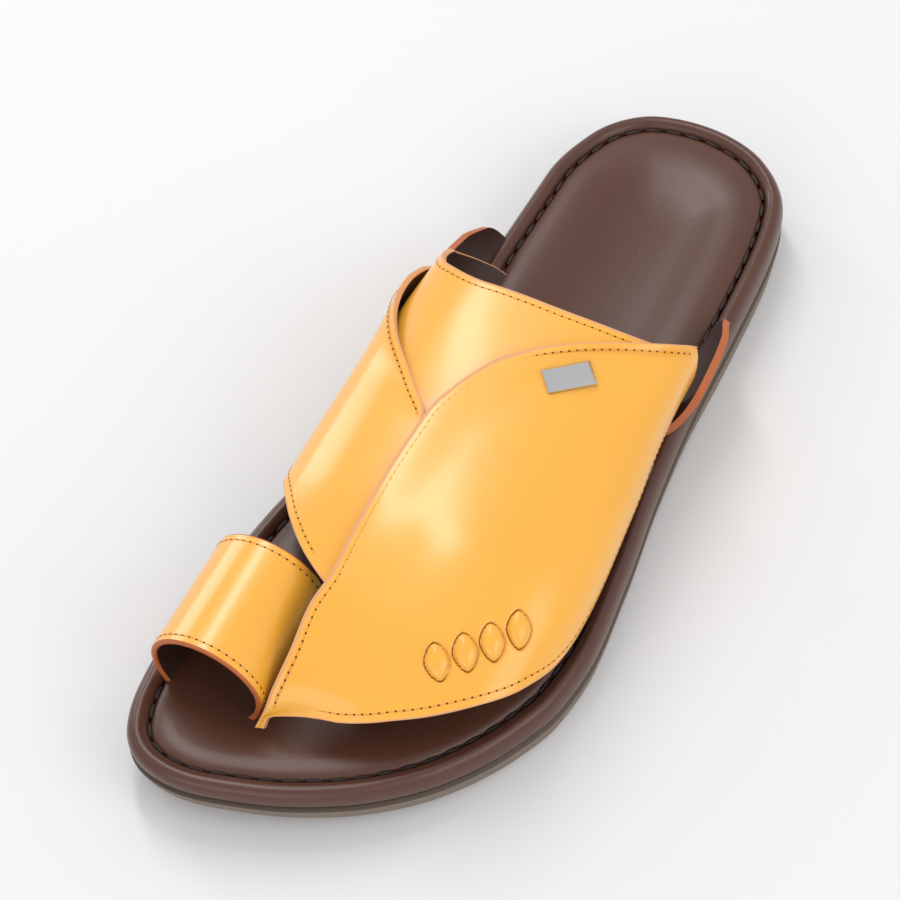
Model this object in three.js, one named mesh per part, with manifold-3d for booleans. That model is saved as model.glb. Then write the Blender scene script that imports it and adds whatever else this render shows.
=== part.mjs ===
// Leather slide with a toe loop, left foot. Millimetres, +Z up.
// Origin under the middle of the sole on the floor; toe toward -Y, heel toward +Y, big-toe side toward -X.
import * as THREE from 'three';
import { mergeVertices } from 'three/addons/utils/BufferGeometryUtils.js';
import Module from 'manifold-3d';

const wasm = await Module();
wasm.setup();

// Driving sizes
const SOLE_LENGTH = 278;
const HEEL_END = SOLE_LENGTH / 2;
const GAP = 0.3;
const LEATHER = 1.8;
const LAYER_STEP = 1.5;
const TOE_SPRING = 8.5;
const SPRING_START = 195;
const WAIST_RELIEF = 1;
const BEAD_WIDTH = 6;
const TRAY_DEPTH = 6.5;
const SLOT_DEPTH = 4;
const SLOT_MARGIN = 0.6;
const RING_POINTS = 72;
const SECTION_POWER = 2.4;
const STRAP_FLOOR = 14;
const BED_DROP = 0.6;
const SLOT_HEADROOM = 6;
const WAIST = { rear: 78, rearFull: 100, frontFull: 132, front: 154 };

// Rings of the sole: how far in the flat faces begin, and how near the spine they end
const FLAT_INSET = 8;
const TRAY_INSET = 12;
const NEAR_SPINE = 0.95;
const BELOW_ALL = -20;
const ABOVE_ALL = 60;

// Small steps for directions along the edge and on the strap surfaces
const TURN_STEP = 0.01;
const GIRTH_STEP = 0.004;
const ALONG_STEP = 0.2;

// Faces of each leather sheet, along it and across it
const GRID = { loop: [28, 4], vamp: [42, 11], inner: [30, 9], instep: [38, 7], tab: [18, 8] };

// Plan of the sole: edge positions each side of the middle line, by distance from the heel end
const OUTLINE = [
  { fromHeel: 0, medial: 0, lateral: 0 },
  { fromHeel: 5, medial: -21, lateral: 20.2 },
  { fromHeel: 20, medial: -33.3, lateral: 33.7 },
  { fromHeel: 40, medial: -37.8, lateral: 38 },
  { fromHeel: 70, medial: -37.8, lateral: 40.4 },
  { fromHeel: 100, medial: -37, lateral: 42.2 },
  { fromHeel: 130, medial: -38.9, lateral: 45.8 },
  { fromHeel: 160, medial: -45.6, lateral: 50.8 },
  { fromHeel: 190, medial: -51, lateral: 54.2 },
  { fromHeel: 205, medial: -52.5, lateral: 52.9 },
  { fromHeel: 220, medial: -53.6, lateral: 48 },
  { fromHeel: 240, medial: -54.2, lateral: 36.8 },
  { fromHeel: 255, medial: -52.4, lateral: 22.9 },
  { fromHeel: 268, medial: -47.8, lateral: 3.3 },
  { fromHeel: 275, medial: -41, lateral: -14 },
  { fromHeel: 278, medial: -29, lateral: -29 },
];

// Thickness of the sole along its length
const SOLE_LAYERS = [
  { fromHeel: 0, outsole: 9.5, rim: 22.5, dish: 4 },
  { fromHeel: 70, outsole: 9, rim: 21.5, dish: 4 },
  { fromHeel: 130, outsole: 8.2, rim: 20, dish: 2.6 },
  { fromHeel: 190, outsole: 7, rim: 18, dish: 2.4 },
  { fromHeel: 278, outsole: 4.6, rim: 13, dish: 2 },
];

// Cross sections of the hollow under the straps: widest level, half width there,
// and rise of the crown above it
const SECTIONS = [
  { along: -114, middle: 3.5, half: 34.5, widest: 13, rise: 3 },
  { along: -100, middle: 4, half: 40, widest: 20, rise: 10.5 },
  { along: -85, middle: 2.8, half: 41.8, widest: 23, rise: 14.5 },
  { along: -76, middle: 2.6, half: 43.2, widest: 24, rise: 16.5 },
  { along: -46, middle: 2.2, half: 44.7, widest: 27, rise: 19.5 },
  { along: -11, middle: 0.5, half: 43.1, widest: 31, rise: 18.5 },
  { along: 19, middle: -0.7, half: 40.6, widest: 36, rise: 15.5 },
  { along: 39, middle: -0.5, half: 39.5, widest: 38, rise: 14 },
  { along: 58, middle: 0, half: 39, widest: 38, rise: 14 },
];

// Leaf straps by position along the foot: girth of the edge toward the instep and of the free edge
// (girth 0 on the crown, 1 at the widest level on the lateral side, -1 on the medial side)
const VAMP_LEAF = [
  { along: -111.5, inner: -0.3, outer: -0.26 },
  { along: -109.5, inner: -0.28, outer: -0.25 },
  { along: -107, inner: -0.26, outer: -0.12 },
  { along: -104.5, inner: -0.25, outer: 0.04 },
  { along: -100.8, inner: -0.23, outer: 0.2 },
  { along: -93.8, inner: -0.21, outer: 0.43 },
  { along: -83.8, inner: -0.2, outer: 0.68 },
  { along: -73.8, inner: -0.17, outer: 0.84 },
  { along: -61.8, inner: -0.17, outer: 0.98 },
  { along: -47, inner: -0.17, outer: 1.05 },
  { along: -21, inner: -0.15, outer: 1.07 },
  { along: -10, inner: -0.11, outer: 1.08 },
  { along: 3.2, inner: -0.03, outer: 1.09 },
  { along: 10.2, inner: 0.03, outer: 1.11 },
  { along: 18.2, inner: 0.17, outer: 1.16 },
  { along: 25.5, inner: 0.36, outer: 1.24 },
  { along: 31.8, inner: 0.56, outer: 1.32 },
  { along: 35.5, inner: 0.68, outer: 1.32 },
  { along: 38.5, inner: 0.77, outer: 1.1 },
  { along: 41, inner: 0.85, outer: 0.88 },
];
const INNER_LEAF = [
  { along: -78, inner: -0.12, outer: -0.15 },
  { along: -74.8, inner: -0.1, outer: -0.24 },
  { along: -69.5, inner: -0.1, outer: -0.37 },
  { along: -62.2, inner: -0.1, outer: -0.52 },
  { along: -54, inner: -0.1, outer: -0.68 },
  { along: -46, inner: -0.12, outer: -0.86 },
  { along: -36, inner: -0.13, outer: -1.02 },
  { along: -20.5, inner: -0.16, outer: -1.1 },
  { along: -12.2, inner: -0.27, outer: -1.13 },
  { along: -5.5, inner: -0.38, outer: -1.15 },
  { along: 2.2, inner: -0.52, outer: -1.18 },
  { along: 11, inner: -0.66, outer: -1.22 },
  { along: 22, inner: -0.82, outer: -1.28 },
  { along: 28.5, inner: -0.9, outer: -1.32 },
  { along: 42, inner: -1.08, outer: -1.36 },
  { along: 54, inner: -1.28, outer: -1.34 },
];
// Instep strap by girth, from the medial end to the lateral end: where its edges lie along the foot
const INSTEP_STRAP = [
  { girth: -1.62, front: 33, rear: 58 },
  { girth: -1.45, front: 30, rear: 57.5 },
  { girth: -1.3, front: 26, rear: 55 },
  { girth: -1.1, front: 18, rear: 49.5 },
  { girth: -0.85, front: 0, rear: 40 },
  { girth: -0.6, front: -18, rear: 33 },
  { girth: -0.25, front: -26, rear: 29 },
  { girth: 0, front: -28, rear: 29 },
  { girth: 0.25, front: -26, rear: 30 },
  { girth: 0.6, front: -18, rear: 33.4 },
  { girth: 0.85, front: 0, rear: 39 },
  { girth: 1, front: 8, rear: 39 },
  { girth: 1.1, front: 12, rear: 38 },
  { girth: 1.3, front: 18, rear: 36.5 },
  { girth: 1.62, front: 22, rear: 36.5 },
];
// Side tabs by position along the foot: girth of the top edge and how far it leans out
const TAB_EDGE = [
  { along: 21, top: 1.5, lean: 0.5 },
  { along: 25, top: 1.3, lean: 2 },
  { along: 33, top: 1.18, lean: 2.4 },
  { along: 48, top: 1.12, lean: 1.4 },
  { along: 57, top: 1.12, lean: 0 },
  { along: 64, top: 1.17, lean: -2.4 },
  { along: 68, top: 1.28, lean: -2.8 },
  { along: 71, top: 1.48, lean: -2.8 },
];
const TAB_BASE_GIRTH = 1.66;
const TAB_WALL = 2.2;
const TAB_LEAN = { none: 1.45, full: 1.1 };

// Where the vamp leaf rides up over the inner leaf: along the foot, and across from the leaf's inner edge
const OVERLAP = { front: -22, rear: 14, near: 0.06, far: 0.8 };

// Toe loop
const LOOP = {
  front: -111,
  rear: -72,
  middleFront: -32.5,
  middleRear: -34,
  half: 15.6,
  widest: 27,
  rise: 13.5,
  floor: 10,
};
const LOOP_GIRTH = 1.5;

// Slots in the footbed: centre, length, width and turn about the vertical
const SLOTS = [
  { x: -19.5, y: -92, length: 42, width: 7, turn: 2 },
  { x: -46.5, y: -92, length: 42, width: 6, turn: 2 },
  { x: 32.5, y: 45.5, length: 51, width: 9, turn: -5 },
  { x: -32, y: 45.5, length: 51, width: 9, turn: 4 },
];

const RIVET = {
  radius: 3.6,
  height: 1.6,
  edge: 0.6,
  standOff: 0.25,
  facets: 20,
  girth: 1.2,
  alongLateral: 27,
  alongMedial: 36,
};
const BADGE = { along: 8, girth: 0.23, length: 14.2, width: 7.8, height: 2, bevel: 1, sunk: 0.8, turn: 43 };
const GROOVE = { stations: [28, 44, 60, 166, 178, 190, 202], width: 70, length: 2.4, height: 3 };

const COLOURS = {
  outsole: 0x5f554c,
  midsole: 0x4a2c21,
  footbed: 0x52342a,
  strap: 0xfdb848,
  metal: 0xb9bcc0,
};

// Smooth value of one column of a table between its rows, without overshoot
function tableValue(rows, key, column, at) {
  const count = rows.length;
  const value = Math.min(Math.max(at, rows[0][key]), rows[count - 1][key]);
  const slope = (i) => (rows[i + 1][column] - rows[i][column]) / (rows[i + 1][key] - rows[i][key]);
  const tangent = (i) => {
    if (i === 0) return slope(0);
    if (i === count - 1) return slope(count - 2);
    const before = slope(i - 1);
    const after = slope(i);
    return before * after <= 0 ? 0 : (2 * before * after) / (before + after);
  };
  let i = 0;
  while (i < count - 2 && value > rows[i + 1][key]) i += 1;
  const span = rows[i + 1][key] - rows[i][key];
  const u = (value - rows[i][key]) / span;
  const rise = u * u * (3 - 2 * u);
  return rows[i][column] * (1 - rise) + rows[i + 1][column] * rise
    + span * u * (1 - u) * ((1 - u) * tangent(i) - u * tangent(i + 1));
}

function smoothStep(from, to, value) {
  const u = Math.min(Math.max((value - from) / (to - from), 0), 1);
  return u * u * (3 - 2 * u);
}

// Sole plan: the turn runs from the heel end along the lateral side to the toe
// and back along the medial side
const outlineByTurn = OUTLINE.map((row) => ({
  ...row,
  turn: Math.acos(1 - (2 * row.fromHeel) / SOLE_LENGTH),
}));

function outlinePoint(turn) {
  const full = 2 * Math.PI;
  const wrapped = ((turn % full) + full) % full;
  const side = wrapped <= Math.PI ? 'lateral' : 'medial';
  const folded = Math.min(wrapped, full - wrapped);
  const fromHeel = (SOLE_LENGTH * (1 - Math.cos(folded))) / 2;
  return new THREE.Vector2(tableValue(outlineByTurn, 'turn', side, folded), HEEL_END - fromHeel);
}

const SPINE_HEEL = 44;
const SPINE_TOE = 226;
const edgeRing = [];
for (let i = 0; i < RING_POINTS; i += 1) {
  const turn = (2 * Math.PI * i) / RING_POINTS;
  const point = outlinePoint(turn);
  const ahead = outlinePoint(turn + TURN_STEP).sub(outlinePoint(turn - TURN_STEP)).normalize();
  const fromHeel = Math.min(Math.max(HEEL_END - point.y, SPINE_HEEL), SPINE_TOE);
  const folded = Math.acos(1 - (2 * fromHeel) / SOLE_LENGTH);
  const middle = (tableValue(outlineByTurn, 'turn', 'medial', folded)
    + tableValue(outlineByTurn, 'turn', 'lateral', folded)) / 2;
  edgeRing.push({
    point,
    outward: new THREE.Vector2(-ahead.y, ahead.x).negate(),
    spine: new THREE.Vector2(middle, HEEL_END - fromHeel),
  });
}
if (edgeRing[RING_POINTS / 4].outward.x < 0) edgeRing.forEach((edge) => edge.outward.negate());

const layer = (column, y) => tableValue(SOLE_LAYERS, 'fromHeel', column, HEEL_END - y);
const spring = (y) => {
  const share = (HEEL_END - y - SPRING_START) / (SOLE_LENGTH - SPRING_START);
  return TOE_SPRING * Math.max(0, share) ** 2;
};
const rimTop = (y) => spring(y) + layer('rim', y);
const outsoleTop = (y) => spring(y) + layer('outsole', y);
const waist = (y) => smoothStep(WAIST.rear, WAIST.rearFull, HEEL_END - y)
  * (1 - smoothStep(WAIST.frontFull, WAIST.front, HEEL_END - y));
const ground = (y) => spring(y) + WAIST_RELIEF * waist(y);

// A ring lies a given distance in from the edge, then moves the given share of the way to the spine
function ringPoint(edge, ring) {
  const at = edge.point.clone().addScaledVector(edge.outward, -ring.inset);
  at.lerp(edge.spine, ring.share ?? 0);
  return new THREE.Vector3(at.x, at.y, ring.height(at.y));
}

function ringSolid(rings) {
  const positions = [];
  const triangles = [];
  rings.forEach((ring) => edgeRing.forEach((edge) => positions.push(...ringPoint(edge, ring).toArray())));
  for (let r = 0; r + 1 < rings.length; r += 1) {
    for (let i = 0; i < RING_POINTS; i += 1) {
      const next = (i + 1) % RING_POINTS;
      const a = r * RING_POINTS + i;
      const b = r * RING_POINTS + next;
      triangles.push([a, b, b + RING_POINTS], [a, b + RING_POINTS, a + RING_POINTS]);
    }
  }
  const lastRing = (rings.length - 1) * RING_POINTS;
  for (let i = 0; i < RING_POINTS / 2; i += 1) {
    const pair = (k) => (RING_POINTS - k) % RING_POINTS;
    triangles.push([i + 1, i, pair(i)], [i + 1, pair(i), pair(i + 1)]);
    triangles.push([lastRing + i, lastRing + i + 1, lastRing + pair(i + 1)]);
    triangles.push([lastRing + i, lastRing + pair(i + 1), lastRing + pair(i)]);
  }
  return solidFrom(positions, triangles);
}

function solidFrom(positions, triangles) {
  const geometry = new THREE.BufferGeometry();
  geometry.setAttribute('position', new THREE.Float32BufferAttribute(positions, 3));
  geometry.setIndex(triangles.flat());
  return manifoldOf(geometry);
}

function manifoldOf(geometry) {
  const bare = geometry.clone();
  bare.deleteAttribute('normal');
  bare.deleteAttribute('uv');
  const welded = mergeVertices(bare, 1e-4);
  const index = welded.index.array;
  const kept = [];
  for (let i = 0; i < index.length; i += 3) {
    const [a, b, c] = [index[i], index[i + 1], index[i + 2]];
    if (a !== b && b !== c && c !== a) kept.push(a, b, c);
  }
  const mesh = new wasm.Mesh({
    numProp: 3,
    vertProperties: new Float32Array(welded.attributes.position.array),
    triVerts: new Uint32Array(kept),
  });
  const solid = new wasm.Manifold(mesh);
  return solid.volume() < 0 ? flipped(mesh) : solid;
}

function flipped(mesh) {
  const triVerts = new Uint32Array(mesh.triVerts);
  for (let i = 0; i < triVerts.length; i += 3) {
    [triVerts[i], triVerts[i + 1]] = [triVerts[i + 1], triVerts[i]];
  }
  return new wasm.Manifold(new wasm.Mesh({ numProp: 3, vertProperties: mesh.vertProperties, triVerts }));
}

function largestPart(solid) {
  return solid.decompose().reduce((best, part) => (part.volume() > best.volume() ? part : best));
}

// Sole pieces, each as rings from the underside round the edge to the top
const outsoleRings = [
  { inset: FLAT_INSET, share: NEAR_SPINE, height: ground },
  { inset: FLAT_INSET, share: 0.4, height: ground },
  { inset: FLAT_INSET, height: ground },
  { inset: 2.2, height: ground },
  { inset: 1.2, height: (y) => ground(y) + 1 },
  { inset: 0, height: outsoleTop },
  { inset: FLAT_INSET, height: outsoleTop },
  { inset: FLAT_INSET, share: NEAR_SPINE, height: outsoleTop },
];

const midsoleBase = (y) => outsoleTop(y) + GAP;
const overBase = (share) => (y) => midsoleBase(y) + share * (rimTop(y) - midsoleBase(y));
const belowRim = (drop) => (y) => rimTop(y) - drop;
const midsoleRings = [
  { inset: FLAT_INSET, share: NEAR_SPINE, height: midsoleBase },
  { inset: FLAT_INSET, height: midsoleBase },
  { inset: 1.7, height: midsoleBase },
  { inset: 1.7, height: (y) => midsoleBase(y) + 1.3 },
  { inset: 0.5, height: (y) => midsoleBase(y) + 1.7 },
  { inset: 0, height: overBase(0.5) },
  { inset: 0.4, height: overBase(0.8) },
  { inset: 1.6, height: overBase(0.95) },
  { inset: 3.2, height: rimTop },
  { inset: 4.8, height: belowRim(0.7) },
  { inset: BEAD_WIDTH, height: belowRim(2.4) },
  { inset: BEAD_WIDTH, height: belowRim(TRAY_DEPTH) },
  { inset: TRAY_INSET, share: NEAR_SPINE, height: belowRim(TRAY_DEPTH) },
];

const footbedEdge = BEAD_WIDTH + GAP;
const dished = (share) => (y) => rimTop(y) - BED_DROP - share * layer('dish', y);
const footbedTop = [
  { inset: footbedEdge, height: belowRim(2.8) },
  { inset: footbedEdge + 1, height: belowRim(1.7) },
  { inset: footbedEdge + 3, height: belowRim(0.9) },
  { inset: footbedEdge + 6, height: dished(0) },
  { inset: footbedEdge + 6, share: 0.25, height: dished(0.35) },
  { inset: footbedEdge + 6, share: 0.55, height: dished(0.85) },
  { inset: footbedEdge + 6, share: NEAR_SPINE, height: dished(1) },
];
const footbedRings = [
  { inset: TRAY_INSET, share: NEAR_SPINE, height: belowRim(TRAY_DEPTH - GAP) },
  { inset: footbedEdge, height: belowRim(TRAY_DEPTH - GAP) },
  ...footbedTop,
];

// What straps must keep clear of: the sole as one block, raised by the gap
const raised = (ring) => ({ ...ring, height: (y) => ring.height(y) + GAP });
const widened = (ring) => ({ ...raised(ring), inset: ring.inset - GAP });
const clearanceRings = [
  { inset: FLAT_INSET, share: NEAR_SPINE, height: () => BELOW_ALL },
  { inset: -GAP, height: () => BELOW_ALL },
  ...midsoleRings.slice(5, 8).map(widened),
  ...midsoleRings.slice(8, 10).map(raised),
  ...footbedTop.slice(2).map(raised),
];

function slotBox(slot, grow) {
  const top = rimTop(slot.y);
  const floor = top - SLOT_DEPTH - grow;
  const height = top + SLOT_HEADROOM - floor;
  const geometry = new THREE.BoxGeometry(slot.width + 2 * grow, slot.length + 2 * grow, height);
  geometry.rotateZ(THREE.MathUtils.degToRad(slot.turn));
  geometry.translate(slot.x, slot.y, (top + SLOT_HEADROOM + floor) / 2);
  const inset = footbedEdge + SLOT_MARGIN + GAP - grow;
  const inside = ringSolid([
    { inset: TRAY_INSET, share: NEAR_SPINE, height: () => BELOW_ALL },
    { inset, height: () => BELOW_ALL },
    { inset, height: () => ABOVE_ALL },
    { inset: TRAY_INSET, share: NEAR_SPINE, height: () => ABOVE_ALL },
  ]);
  return manifoldOf(geometry).intersect(inside);
}

// Straps follow an egg-shaped hollow; the girth turns round its section from the crown
function hollowPoint(girth, along) {
  const row = (column) => tableValue(SECTIONS, 'along', column, along);
  const angle = (girth * Math.PI) / 2;
  const power = 2 / SECTION_POWER;
  const sine = Math.sin(angle);
  const cosine = Math.cos(angle);
  const across = row('half') * Math.sign(sine) * Math.abs(sine) ** power;
  const reach = cosine > 0 ? row('rise') : STRAP_FLOOR - row('widest');
  return new THREE.Vector3(row('middle') + across, along, row('widest') + reach * Math.abs(cosine) ** power);
}

function loopPoint(girth, along) {
  const share = (along - LOOP.front) / (LOOP.rear - LOOP.front);
  const angle = (girth * Math.PI) / 2;
  const drop = Math.cos(angle) > 0 ? LOOP.rise : LOOP.widest - LOOP.floor;
  const middle = THREE.MathUtils.lerp(LOOP.middleFront, LOOP.middleRear, share);
  return new THREE.Vector3(middle + LOOP.half * Math.sin(angle), along, LOOP.widest + drop * Math.cos(angle));
}

function liftedPoint(surface, girth, along, lift) {
  const at = surface(girth, along);
  const round = surface(girth + GIRTH_STEP, along).sub(surface(girth - GIRTH_STEP, along));
  const ahead = surface(girth, along + ALONG_STEP).sub(surface(girth, along - ALONG_STEP));
  const normal = round.cross(ahead).normalize();
  return at.addScaledVector(normal, lift);
}

// A sheet of leather: place(u, v) gives girth, along and the lift of its underside
function sheetSolid(surface, place, [countU, countV], wall, extra = 0) {
  const positions = [];
  const triangles = [];
  const row = countV + 1;
  const faceSize = (countU + 1) * row;
  for (const top of [0, 1]) {
    for (let i = 0; i <= countU; i += 1) {
      for (let j = 0; j <= countV; j += 1) {
        const { girth, along, lift } = place(i / countU, j / countV);
        const offset = top ? lift + wall + extra : lift - extra;
        positions.push(...liftedPoint(surface, girth, along, offset).toArray());
      }
    }
  }
  for (let i = 0; i < countU; i += 1) {
    for (let j = 0; j < countV; j += 1) {
      const a = i * row + j;
      triangles.push([a, a + 1, a + row + 1], [a, a + row + 1, a + row]);
      const b = a + faceSize;
      triangles.push([b, b + row + 1, b + 1], [b, b + row, b + row + 1]);
    }
  }
  const closeEdge = (a, b) => {
    triangles.push([a, b + faceSize, a + faceSize], [a, b, b + faceSize]);
  };
  for (let i = 0; i < countU; i += 1) {
    closeEdge(i * row, (i + 1) * row);
    closeEdge((i + 1) * row + countV, i * row + countV);
  }
  for (let j = 0; j < countV; j += 1) {
    closeEdge(j + 1, j);
    closeEdge(countU * row + j, countU * row + j + 1);
  }
  return solidFrom(positions, triangles);
}

function leafPlace(rows, lift) {
  const first = rows[0].along;
  const length = rows[rows.length - 1].along - first;
  return (u, v) => {
    const along = first + length * u;
    const inner = tableValue(rows, 'along', 'inner', along);
    const outer = tableValue(rows, 'along', 'outer', along);
    return { girth: inner + (outer - inner) * v, along, lift: lift(along, v) };
  };
}

const strapReach = INSTEP_STRAP[INSTEP_STRAP.length - 1].girth;
const instepPlace = (u, v) => {
  const girth = strapReach * (2 * u - 1);
  const front = tableValue(INSTEP_STRAP, 'girth', 'front', girth);
  const rear = tableValue(INSTEP_STRAP, 'girth', 'rear', girth);
  return { girth, along: front + (rear - front) * v, lift: 0 };
};
const overInnerLeaf = (along, v) => (1 - smoothStep(OVERLAP.front, OVERLAP.rear, along))
  * (1 - smoothStep(OVERLAP.near, OVERLAP.far, v));
const vampPlace = leafPlace(VAMP_LEAF, (along, v) => LAYER_STEP * (1 + overInnerLeaf(along, v)));
const innerPlace = leafPlace(INNER_LEAF, () => LAYER_STEP);
const loopPlace = (u, v) => ({
  girth: LOOP_GIRTH * (2 * u - 1),
  along: LOOP.front + (LOOP.rear - LOOP.front) * v,
  lift: 0,
});
const loopRoomPlace = (u, v) => ({ ...loopPlace(u, v), along: loopPlace(u, v).along + GAP * (2 * v - 1) });
const tabPlace = (side) => (u, v) => {
  const first = TAB_EDGE[0].along;
  const along = first + (TAB_EDGE[TAB_EDGE.length - 1].along - first) * u;
  const top = tableValue(TAB_EDGE, 'along', 'top', along);
  const girth = TAB_BASE_GIRTH + (top - TAB_BASE_GIRTH) * v;
  const leaning = smoothStep(TAB_LEAN.none, TAB_LEAN.full, girth);
  const lean = tableValue(TAB_EDGE, 'along', 'lean', along) * leaning;
  return { girth: side * girth, along, lift: LAYER_STEP + LEATHER + GAP + lean };
};

// Build the solids
const slotRooms = SLOTS.map((slot) => slotBox(slot, 0));
const slotHoles = SLOTS.map((slot) => slotBox(slot, GAP));
const clearance = slotRooms.reduce((block, room) => block.subtract(room), ringSolid(clearanceRings));

const toeLoop = sheetSolid(loopPoint, loopPlace, GRID.loop, LEATHER);
const loopRoom = sheetSolid(loopPoint, loopRoomPlace, GRID.loop, LEATHER, GAP);
const vampLeaf = sheetSolid(hollowPoint, vampPlace, GRID.vamp, LEATHER);
const vampRoom = sheetSolid(hollowPoint, vampPlace, GRID.vamp, LEATHER, GAP);
const innerLeaf = sheetSolid(hollowPoint, innerPlace, GRID.inner, LEATHER);
const instepStrap = sheetSolid(hollowPoint, instepPlace, GRID.instep, LEATHER);
const joinedStraps = vampLeaf.add(innerLeaf).add(instepStrap).subtract(clearance).subtract(loopRoom);

function tabSolid(side) {
  return largestPart(sheetSolid(hollowPoint, tabPlace(side), GRID.tab, TAB_WALL).subtract(clearance));
}

// Turns a shape standing on +Z so that it stands on the hollow's surface
function standOn(geometry, girth, along, lift, inward, turn) {
  const foot = liftedPoint(hollowPoint, girth, along, lift);
  const head = liftedPoint(hollowPoint, girth, along, lift + (inward ? -1 : 1));
  const up = head.sub(foot).normalize();
  const forward = new THREE.Vector3(Math.cos(turn), Math.sin(turn), 0);
  const across = up.clone().cross(forward).normalize();
  const matrix = new THREE.Matrix4().makeBasis(across.clone().cross(up), across, up).setPosition(foot);
  return geometry.applyMatrix4(matrix);
}

function rivetSolid(side) {
  const { radius, height, edge } = RIVET;
  const profile = [new THREE.Vector2(0, 0), new THREE.Vector2(radius, 0), new THREE.Vector2(radius, edge)];
  for (const step of [1, 2, 3]) {
    const angle = (step / 4) * (Math.PI / 2);
    profile.push(new THREE.Vector2(radius * Math.cos(angle), edge + (height - edge) * Math.sin(angle)));
  }
  profile.push(new THREE.Vector2(0, height));
  const dome = new THREE.LatheGeometry(profile, RIVET.facets).rotateX(Math.PI / 2);
  const along = side > 0 ? RIVET.alongLateral : RIVET.alongMedial;
  return manifoldOf(standOn(dome, side * RIVET.girth, along, -GAP - RIVET.standOff, true, 0));
}

function badgeSolid() {
  const { length, width, height, bevel } = BADGE;
  const outline = new THREE.Shape();
  outline.moveTo(-length / 2 + bevel, -width / 2 + bevel);
  outline.lineTo(length / 2 - bevel, -width / 2 + bevel);
  outline.lineTo(length / 2 - bevel, width / 2 - bevel);
  outline.lineTo(-length / 2 + bevel, width / 2 - bevel);
  outline.closePath();
  const plate = new THREE.ExtrudeGeometry(outline, {
    depth: height,
    bevelEnabled: true,
    bevelThickness: bevel,
    bevelSize: bevel,
    bevelSegments: 1,
  });
  const lift = LAYER_STEP + LEATHER - BADGE.sunk;
  const placed = standOn(plate, BADGE.girth, BADGE.along, lift, false, THREE.MathUtils.degToRad(BADGE.turn));
  return largestPart(manifoldOf(placed).subtract(vampRoom));
}

function treadGroove(fromHeel) {
  const groove = new THREE.BoxGeometry(GROOVE.width, GROOVE.length, GROOVE.height);
  groove.translate(0, HEEL_END - fromHeel, 0);
  return manifoldOf(groove);
}

const solids = {
  outsole: GROOVE.stations.reduce((sole, at) => sole.subtract(treadGroove(at)), ringSolid(outsoleRings)),
  midsole: ringSolid(midsoleRings),
  footbed: slotHoles.reduce((bed, hole) => bed.subtract(hole), ringSolid(footbedRings)),
  upper: largestPart(joinedStraps),
  toe_loop: largestPart(toeLoop.subtract(clearance)),
  tab_lateral: tabSolid(1),
  tab_medial: tabSolid(-1),
  rivet_lateral: rivetSolid(1),
  rivet_medial: rivetSolid(-1),
  badge_plate: badgeSolid(),
};

const finishes = {
  outsole: { color: COLOURS.outsole, roughness: 0.8 },
  midsole: { color: COLOURS.midsole, roughness: 0.45 },
  footbed: { color: COLOURS.footbed, roughness: 0.5 },
  badge_plate: { color: COLOURS.metal, roughness: 0.2, metalness: 1 },
  rivet_lateral: { color: COLOURS.metal, roughness: 0.25, metalness: 1 },
  rivet_medial: { color: COLOURS.metal, roughness: 0.25, metalness: 1 },
};
const strapFinish = { color: COLOURS.strap, roughness: 0.35 };

const group = new THREE.Group();
for (const [name, solid] of Object.entries(solids)) {
  const { vertProperties, triVerts } = solid.getMesh();
  const geometry = new THREE.BufferGeometry();
  geometry.setAttribute('position', new THREE.Float32BufferAttribute(vertProperties, 3));
  geometry.setIndex([...triVerts]);
  geometry.computeVertexNormals();
  const mesh = new THREE.Mesh(geometry, new THREE.MeshStandardMaterial(finishes[name] ?? strapFinish));
  mesh.name = name;
  group.add(mesh);
}

export default group;
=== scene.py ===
# Leather slide with a toe loop, left foot: the looks of the part, in metres, in the part's own frame.
import math

import bpy
import numpy as np
from mathutils import Matrix, Vector


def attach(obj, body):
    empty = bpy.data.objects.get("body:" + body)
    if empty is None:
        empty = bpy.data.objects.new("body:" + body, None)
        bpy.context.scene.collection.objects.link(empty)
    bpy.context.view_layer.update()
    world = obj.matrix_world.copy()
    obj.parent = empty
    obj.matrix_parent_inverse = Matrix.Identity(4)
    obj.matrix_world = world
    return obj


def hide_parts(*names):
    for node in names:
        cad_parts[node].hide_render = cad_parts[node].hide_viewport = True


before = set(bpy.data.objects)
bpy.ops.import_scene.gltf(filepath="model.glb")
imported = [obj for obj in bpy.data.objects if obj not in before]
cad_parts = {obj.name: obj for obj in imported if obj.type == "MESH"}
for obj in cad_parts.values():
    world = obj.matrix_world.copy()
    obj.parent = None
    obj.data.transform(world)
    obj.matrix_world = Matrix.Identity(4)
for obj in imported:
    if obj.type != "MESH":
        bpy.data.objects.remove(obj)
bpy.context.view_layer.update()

MM = 0.001

# Sizes in millimetres, the same as those of the solids
SOLE_LENGTH = 278.0
HEEL_END = SOLE_LENGTH / 2
GAP = 0.3
LEATHER = 1.8
LAYER_STEP = 1.5
TOE_SPRING = 8.5
SPRING_START = 195.0
WAIST_RELIEF = 1.0
BEAD_WIDTH = 6.0
TRAY_DEPTH = 6.5
SECTION_POWER = 2.4
STRAP_FLOOR = 14.0
SPINE_HEEL = 44.0
SPINE_TOE = 226.0
WAIST = {"rear": 78, "rear_full": 100, "front_full": 132, "front": 154}

# Points round the sole, and small steps for directions along the sole's edge and on the strap surfaces
RING_POINTS = 360
TURN_STEP = 0.01
GIRTH_STEP = 0.004
ALONG_STEP = 0.2


def table(columns, rows):
    """A table as one array for each named column."""
    values = np.array(rows, float).T
    return dict(zip(columns, values))


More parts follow.
